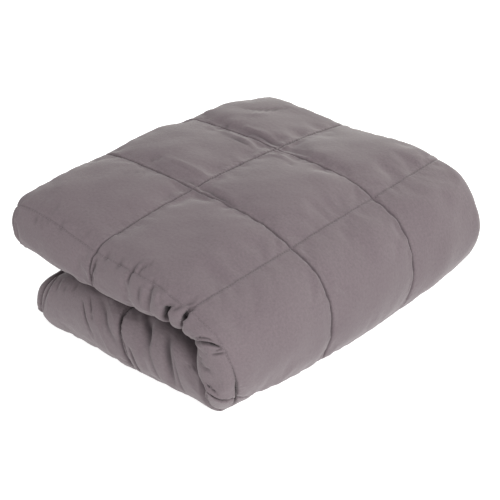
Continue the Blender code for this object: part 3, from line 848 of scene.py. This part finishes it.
# the painted shade of seams and creases goes into one attribute, the thread's gathers into another
for name, share in (("painted_shade", painted_shade_share), ("gathered", gather_share)):
    share = np.concatenate((share.ravel(), np.zeros(len(flat_coarse))))
    mesh.attributes.new(name, "FLOAT", "POINT").data.foreach_set(
        "value", share.astype(np.float32))
print("flat cloth runs from", flat.min(0).round(3), "to", flat.max(0).round(3), "m")

# %% [markdown]
# ## The cloth: brushed cotton
#
# It is a dull, warm grey cloth with a soft nap.  A weave finer than a millimetre only breaks up the
# light.  Mottled yarn and a slight clouding of the dye keep the colour from being flat, a soft
# crumple and the gathers beside the stitches catch the lamps, and the nap has a sheen where it is
# seen edge on.  The sheen is a constant, so it sits on the shader's own socket.  In the seams and
# the deep creases the colour is darkened with painted shade.

# %% Node helpers
CLOTH_DARK = (0.111, 0.087, 0.097, 1.0)
CLOTH_LIGHT = (0.164, 0.135, 0.142, 1.0)
# painted shade: the colour of the cloth at the bottom of a seam groove or a deep crease
PAINTED_GROOVE_SHADE = (0.034, 0.027, 0.030, 1.0)
MIX_A, MIX_B, MIXED = 6, 7, 2   # the colour sockets of a Mix node


def add_node(tree, kind, where, entries=(), **values):
    """A node at a place in the tree, with its properties and inputs set by name, and the
    inputs that share their name set by number."""
    node = tree.nodes.new(kind)
    node.location = where
    for key, value in values.items():
        if hasattr(node, key):
            setattr(node, key, value)
        else:
            node.inputs[key.replace("_", " ")].default_value = value
    for number, value in entries:
        node.inputs[number].default_value = value
    return node


def noise(tree, where, scale, detail, roughness=0.5):
    """A noise texture, finer with a greater scale."""
    return add_node(tree, "ShaderNodeTexNoise", where, Scale=scale, Detail=detail,
                    Roughness=roughness)


def wire(tree, *links):
    """Join nodes: each link runs from a node's output to a node's input."""
    for source, output, target, entry in links:
        tree.links.new(source.outputs[output], target.inputs[entry])


def new_material(name, **values):
    """A material, its tree, and its shader with the constant values on its own sockets."""
    material = bpy.data.materials.new(name)
    material.use_nodes = True
    shader = material.node_tree.nodes["Principled BSDF"]
    for key, value in dict(Metallic=0.0, Specular_IOR_Level=0.25, **values).items():
        shader.inputs[key.replace("_", " ")].default_value = value
    return material, material.node_tree, shader


print("cloth colour in daylight, about", CLOTH_LIGHT[:3])

# %% Brushed cotton
FINE, COARSE = 2600.0, 260.0    # bumps of the weave to a metre, across a thread and along it
GRAIN_CONTRAST, CLOUD_CONTRAST = 1.6, 0.5
TONE_SHIFT = -0.55              # so that grain and clouding average to a half
cotton, tree, shader = new_material(
    "brushed_cotton", Base_Color=CLOTH_LIGHT, Roughness=0.88, Sheen_Weight=0.22,
    Sheen_Roughness=0.45, Sheen_Tint=(1.0, 0.985, 0.965, 1.0))
cloth_place = add_node(tree, "ShaderNodeUVMap", (-1500, 0), uv_map="flat_cloth")
weave = add_node(tree, "ShaderNodeMath", (-840, 140), operation="ADD")
for entry, height, scale in ((0, 320, (FINE, COARSE, 1.0)), (1, -40, (COARSE, FINE, 1.0))):
    thread_map = add_node(tree, "ShaderNodeMapping", (-1280, height), Scale=scale)
    yarn = noise(tree, (-1060, height), 1.0, 2.0)
    wire(tree, (cloth_place, "UV", thread_map, "Vector"), (thread_map, "Vector", yarn, "Vector"),
         (yarn, "Fac", weave, entry))
cloud = noise(tree, (-1060, -400), 9.0, 3.0, 0.55)
melange = noise(tree, (-1060, -640), 320.0, 3.0, 0.8)
crumple = noise(tree, (-840, 420), 150.0, 3.0, 0.55)
gathers = noise(tree, (-1060, 640), 270.0, 1.0)
wire(tree, *((cloth_place, "UV", texture, "Vector")
             for texture in (cloud, melange, crumple, gathers)))
level = add_node(tree, "ShaderNodeMath", (-840, -640), ((1, CLOUD_CONTRAST), (2, TONE_SHIFT)),
                 operation="MULTIPLY_ADD")
tone = add_node(tree, "ShaderNodeMath", (-840, -460), ((1, GRAIN_CONTRAST),),
                operation="MULTIPLY_ADD")
dye = add_node(tree, "ShaderNodeMix", (-600, -300), ((MIX_A, CLOTH_DARK), (MIX_B, CLOTH_LIGHT)),
               data_type="RGBA")
# painted shade: the cloth's colour is mixed towards the painted shade colour in seams and deep
# creases
painted_shade_reader = add_node(tree, "ShaderNodeAttribute", (-600, -620), attribute_name="painted_shade")
shade_painted_dye = add_node(tree, "ShaderNodeMix", (-220, -300), ((MIX_B, PAINTED_GROOVE_SHADE),), data_type="RGBA")
by_thread = add_node(tree, "ShaderNodeAttribute", (-1060, 840), attribute_name="gathered")
gather_height = add_node(tree, "ShaderNodeMath", (-840, 700), operation="MULTIPLY")
gather_bump, soft_bump, weave_bump = (
    add_node(tree, "ShaderNodeBump", where, Strength=strength, Distance=distance)
    for where, strength, distance in (((-620, 640), 0.9, 0.0022), ((-560, 420), 0.45, 0.0009),
                                      ((-320, 240), 0.35, 0.00022)))
wire(tree,
     (cloud, "Fac", level, 0), (melange, "Fac", tone, 0), (level, 0, tone, 2),
     (tone, 0, dye, 0), (dye, MIXED, shade_painted_dye, MIX_A), (painted_shade_reader, "Fac", shade_painted_dye, 0),
     (shade_painted_dye, MIXED, shader, "Base Color"),
     (gathers, "Fac", gather_height, 0), (by_thread, "Fac", gather_height, 1),
     (gather_height, 0, gather_bump, "Height"), (gather_bump, "Normal", soft_bump, "Normal"),
     (crumple, "Fac", soft_bump, "Height"), (soft_bump, "Normal", weave_bump, "Normal"),
     (weave, 0, weave_bump, "Height"), (weave_bump, "Normal", shader, "Normal"))
mesh.materials.append(cotton)
print("brushed cotton has", len(tree.nodes), "nodes")

# %% [markdown]
# ## The stitches, with Geometry Nodes
#
# Every seam is a row of the same stitch, thousands of them, so this is a job for Geometry
# Nodes.  The seams are laid down first as plain lines of edges at the bottom of their grooves.
# The tree turns the lines into curves, puts a point at each stitch, and sets a small spindle of
# thread on each point, turned along the seam.  It ends in Realize Instances and Set Material,
# so the result is an ordinary mesh.

# %% Seam lines
STITCH_PITCH = 0.0039           # metres
STITCH_LENGTH = 0.0030
THREAD_THICKNESS = 0.00055
THREAD_LIFT = 0.00012           # how high the thread lies above the bottom of the groove
STITCH_LEAST, STITCH_MOST = (0.85, 0.85, 0.88), (1.15, 1.15, 1.06)      # how stitches vary


def stitch_lines():
    """A line of points, in metres, along every seam of the outward face."""
    lift = normals(outward) * (THREAD_LIFT / SQUARE)
    raised = (outward + lift - (CENTRE_X, CENTRE_Y, 0.0)) * SQUARE
    inner_rows = (along_at >= 0) & (along_at <= SQUARES_LONG)
    inner_cols = (across_at >= 0) & (across_at <= SQUARES_WIDE)
    return ([raised[inner_rows, np.argmin(np.abs(across_at - seam))]
             for seam in range(SQUARES_WIDE + 1)]
            + [raised[np.argmin(np.abs(along_at - seam)), inner_cols]
               for seam in range(SQUARES_LONG + 1)])


lines = stitch_lines()
line_points = np.concatenate(lines)
line_ends = np.cumsum([len(line) for line in lines]) - 1
joined = np.setdiff1d(np.arange(len(line_points) - 1), line_ends)
seam_mesh = bpy.data.meshes.new("seam_lines")
seam_mesh.from_pydata(line_points.tolist(), np.stack((joined, joined + 1), axis=1).tolist(), [])
seams = add_object("seam_lines", seam_mesh)
sewn_length = sum(float(np.linalg.norm(np.diff(line, axis=0), axis=1).sum()) for line in lines)
print(len(lines), "seams,", round(sewn_length, 2), "m of stitching")

# %% Thread
THREAD_DARK, THREAD_LIGHT = (0.120, 0.098, 0.106, 1.0), (0.215, 0.182, 0.192, 1.0)
thread, thread_tree, thread_shader = new_material(
    "sewing_thread", Base_Color=(0.175, 0.146, 0.155, 1.0), Roughness=0.6, Sheen_Weight=0.1)
thread_place = add_node(thread_tree, "ShaderNodeTexCoord", (-900, 0))
twist = noise(thread_tree, (-680, 0), 1400.0, 1.0)
thread_tone = add_node(thread_tree, "ShaderNodeMix", (-440, 0),
                       ((MIX_A, THREAD_DARK), (MIX_B, THREAD_LIGHT)), data_type="RGBA")
thread_bump = add_node(thread_tree, "ShaderNodeBump", (-440, -260), Strength=0.4,
                       Distance=0.0001)
wire(thread_tree,
     (thread_place, "Object", twist, "Vector"), (twist, "Fac", thread_tone, 0),
     (twist, "Fac", thread_bump, "Height"), (thread_tone, MIXED, thread_shader, "Base Color"),
     (thread_bump, "Normal", thread_shader, "Normal"))
print("thread material has", len(thread_tree.nodes), "nodes")

# %% Stitch tree
sewing = bpy.data.node_groups.new("sewing", "GeometryNodeTree")
for side in ("INPUT", "OUTPUT"):
    sewing.interface.new_socket("Geometry", in_out=side, socket_type="NodeSocketGeometry")
sockets = {}
for name, kind, value in (("Stitch pitch", "NodeSocketFloat", STITCH_PITCH),
                          ("Stitch length", "NodeSocketFloat", STITCH_LENGTH),
                          ("Thread thickness", "NodeSocketFloat", THREAD_THICKNESS),
                          ("Seed", "NodeSocketInt", 7),
                          ("Thread", "NodeSocketMaterial", thread)):
    sockets[name] = (sewing.interface.new_socket(name, in_out="INPUT", socket_type=kind), value)

group_in = add_node(sewing, "NodeGroupInput", (-1100, 0))
group_out = add_node(sewing, "NodeGroupOutput", (500, 0))
to_curve = add_node(sewing, "GeometryNodeMeshToCurve", (-880, 160))
resample = add_node(sewing, "GeometryNodeResampleCurve", (-660, 160), mode="LENGTH")
spindle = add_node(sewing, "GeometryNodeMeshUVSphere", (-660, -160), Segments=6, Rings=5,
                   Radius=0.5)
size = add_node(sewing, "ShaderNodeCombineXYZ", (-660, -380))
shaped = add_node(sewing, "GeometryNodeTransform", (-440, -160))
tangent = add_node(sewing, "GeometryNodeInputTangent", (-660, 340))
turned = add_node(sewing, "FunctionNodeAlignRotationToVector", (-440, 340), axis="Z")
vary = add_node(sewing, "FunctionNodeRandomValue", (-440, -460), data_type="FLOAT_VECTOR",
                Min=STITCH_LEAST, Max=STITCH_MOST)
smooth_faces = add_node(sewing, "GeometryNodeSetShadeSmooth", (-440, -300))
put = add_node(sewing, "GeometryNodeInstanceOnPoints", (-200, 120))
realize = add_node(sewing, "GeometryNodeRealizeInstances", (60, 120))
coloured = add_node(sewing, "GeometryNodeSetMaterial", (280, 120))
wire(sewing,
     (group_in, "Geometry", to_curve, "Mesh"), (to_curve, "Curve", resample, "Curve"),
     (group_in, "Stitch pitch", resample, "Length"), (group_in, "Thread thickness", size, "X"),
     (group_in, "Thread thickness", size, "Y"), (group_in, "Stitch length", size, "Z"),
     (spindle, "Mesh", smooth_faces, "Geometry"), (smooth_faces, "Geometry", shaped, "Geometry"),
     (size, "Vector", shaped, "Scale"), (tangent, "Tangent", turned, "Vector"),
     (group_in, "Seed", vary, "Seed"), (resample, "Curve", put, "Points"),
     (shaped, "Geometry", put, "Instance"), (turned, "Rotation", put, "Rotation"),
     (vary, 0, put, "Scale"), (put, "Instances", realize, "Geometry"),
     (realize, "Geometry", coloured, "Geometry"), (group_in, "Thread", coloured, "Material"),
     (coloured, "Geometry", group_out, "Geometry"))
print("the sewing tree has", len(sewing.nodes), "nodes and inputs", sorted(sockets))

# %% Sew
sew = seams.modifiers.new("sewing", "NODES")
sew.node_group = sewing
for socket, value in sockets.values():
    sew[socket.identifier] = value
scene.view_layers[0].update()
sewn = seams.evaluated_get(bpy.context.evaluated_depsgraph_get())
stitch_mesh = bpy.data.meshes.new_from_object(sewn)
stitch_mesh.name = "stitches"
seams.modifiers.remove(sew)
bpy.data.objects.remove(seams, do_unlink=True)
stitches = add_object("stitches", stitch_mesh)
stitch_mesh.calc_loop_triangles()
print("stitches:", len(stitch_mesh.loop_triangles), "triangles")

# %% [markdown]
# ## Floor and light
#
# The blanket lies in a plain white sweep under soft light from all sides.  The strongest lamps
# stand on the right and behind it, and weaker ones above, in front and on the left.  The floor
# is a matt grey with a light of its own, which keeps it white, as in a light tent.

# %% Floor
FLOOR_HALF, FLOOR_DROP, FLOOR_GLOW = 6.0, 0.0004, 0.85
WHITE, GREY = (1.0, 1.0, 1.0, 1.0), (0.5, 0.5, 0.5, 1.0)
floor_mesh = bpy.data.meshes.new("floor")
floor_mesh.from_pydata([(x * FLOOR_HALF, y * FLOOR_HALF, -FLOOR_DROP)
                        for x, y in ((-1, -1), (1, -1), (1, 1), (-1, 1))], [], [(0, 1, 2, 3)])
floor = add_object("floor", floor_mesh)
floor_paint, _, _ = new_material("white_sweep", Base_Color=GREY, Roughness=0.9,
                                 Emission_Color=WHITE, Emission_Strength=FLOOR_GLOW)
floor_mesh.materials.append(floor_paint)
floor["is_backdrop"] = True
print("floor is", 2 * FLOOR_HALF, "m across")

# %% Lights
WORLD_LIGHT, LAMP_SIZE = 0.25, 0.9
world = bpy.data.worlds.new("light_tent")
world.use_nodes = True
background = world.node_tree.nodes["Background"]
background.inputs["Color"].default_value = WHITE
background.inputs["Strength"].default_value = WORLD_LIGHT
scene.world = world
scene.view_settings.view_transform = "Standard"
LAMPS = (
    # name     place                 watts  colour
    ("key",    (1.58, -0.42, 1.15),   31.0, (1.00, 0.99, 1.00)),
    ("back",   (0.00, 1.93, 0.52),    35.0, (0.95, 1.00, 0.91)),
    ("top",    (0.00, 0.00, 2.00),    14.0, (1.00, 0.98, 1.00)),
    ("front",  (0.64, -1.77, 0.68),    9.0, (1.00, 0.98, 0.99)),
    ("left",   (-1.50, -1.26, 0.42),   7.0, (1.00, 0.98, 0.99)),
)
for name, place_at, watts, colour in LAMPS:
    lamp_data = bpy.data.lights.new(name, "AREA")
    lamp_data.size, lamp_data.energy, lamp_data.color = LAMP_SIZE, watts, colour
    lamp = add_object(name, lamp_data)
    lamp.location = place_at
    lamp.rotation_euler = (-Vector(place_at)).to_track_quat("-Z", "Y").to_euler()
print(len(LAMPS), "lamps")

# %% [markdown]
# ## Hand the pieces to the frame
#
# The quilted cover stands for the plain solid, and the stitches lie on it.  Both ride on the one
# body.  Last, the size of the dressed blanket is measured.

# %% Finish
for piece in (cover, stitches):
    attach(piece, "root")
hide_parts("blanket")
low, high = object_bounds()
